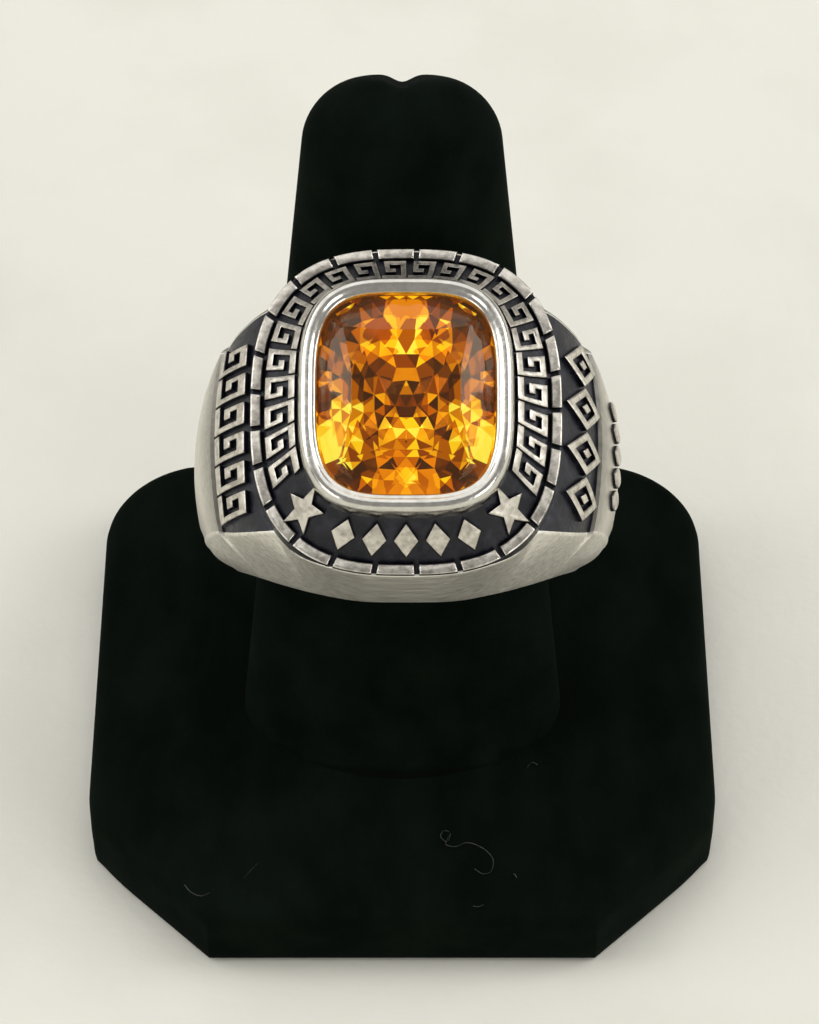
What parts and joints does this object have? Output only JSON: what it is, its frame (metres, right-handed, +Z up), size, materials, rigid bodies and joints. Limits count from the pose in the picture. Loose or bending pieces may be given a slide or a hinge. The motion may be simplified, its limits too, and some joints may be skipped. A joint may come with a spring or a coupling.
{
  "type": "class ring on a finger display stand",
  "caption": "Heavy cast signet-style class ring with a cushion-cut stone in a raised bezel, shown on a leaning velvet finger stand with a flat base.",
  "frame": {"origin": "middle of the whole thing's box at its foot, on the surface that the stand's base rests on", "axes": "+Z up, -Y to the front of the base and -Z out of its foot; the finger leans back towards +Y and +X is to the right seen from the front"},
  "size_m": [0.038, 0.0404, 0.0375],
  "materials": {
    "silver": "antiqued cast silver: satin raised ornament over blackened ground, polished bezel",
    "stone": "faceted and polished, amber yellow",
    "velvet": "short black velvet pile"
  },
  "bodies": {
    "root": {"ring_body": "silver", "stone": "stone", "stand_finger": "velvet", "stand_base": "velvet"}
  },
  "joints": []
}
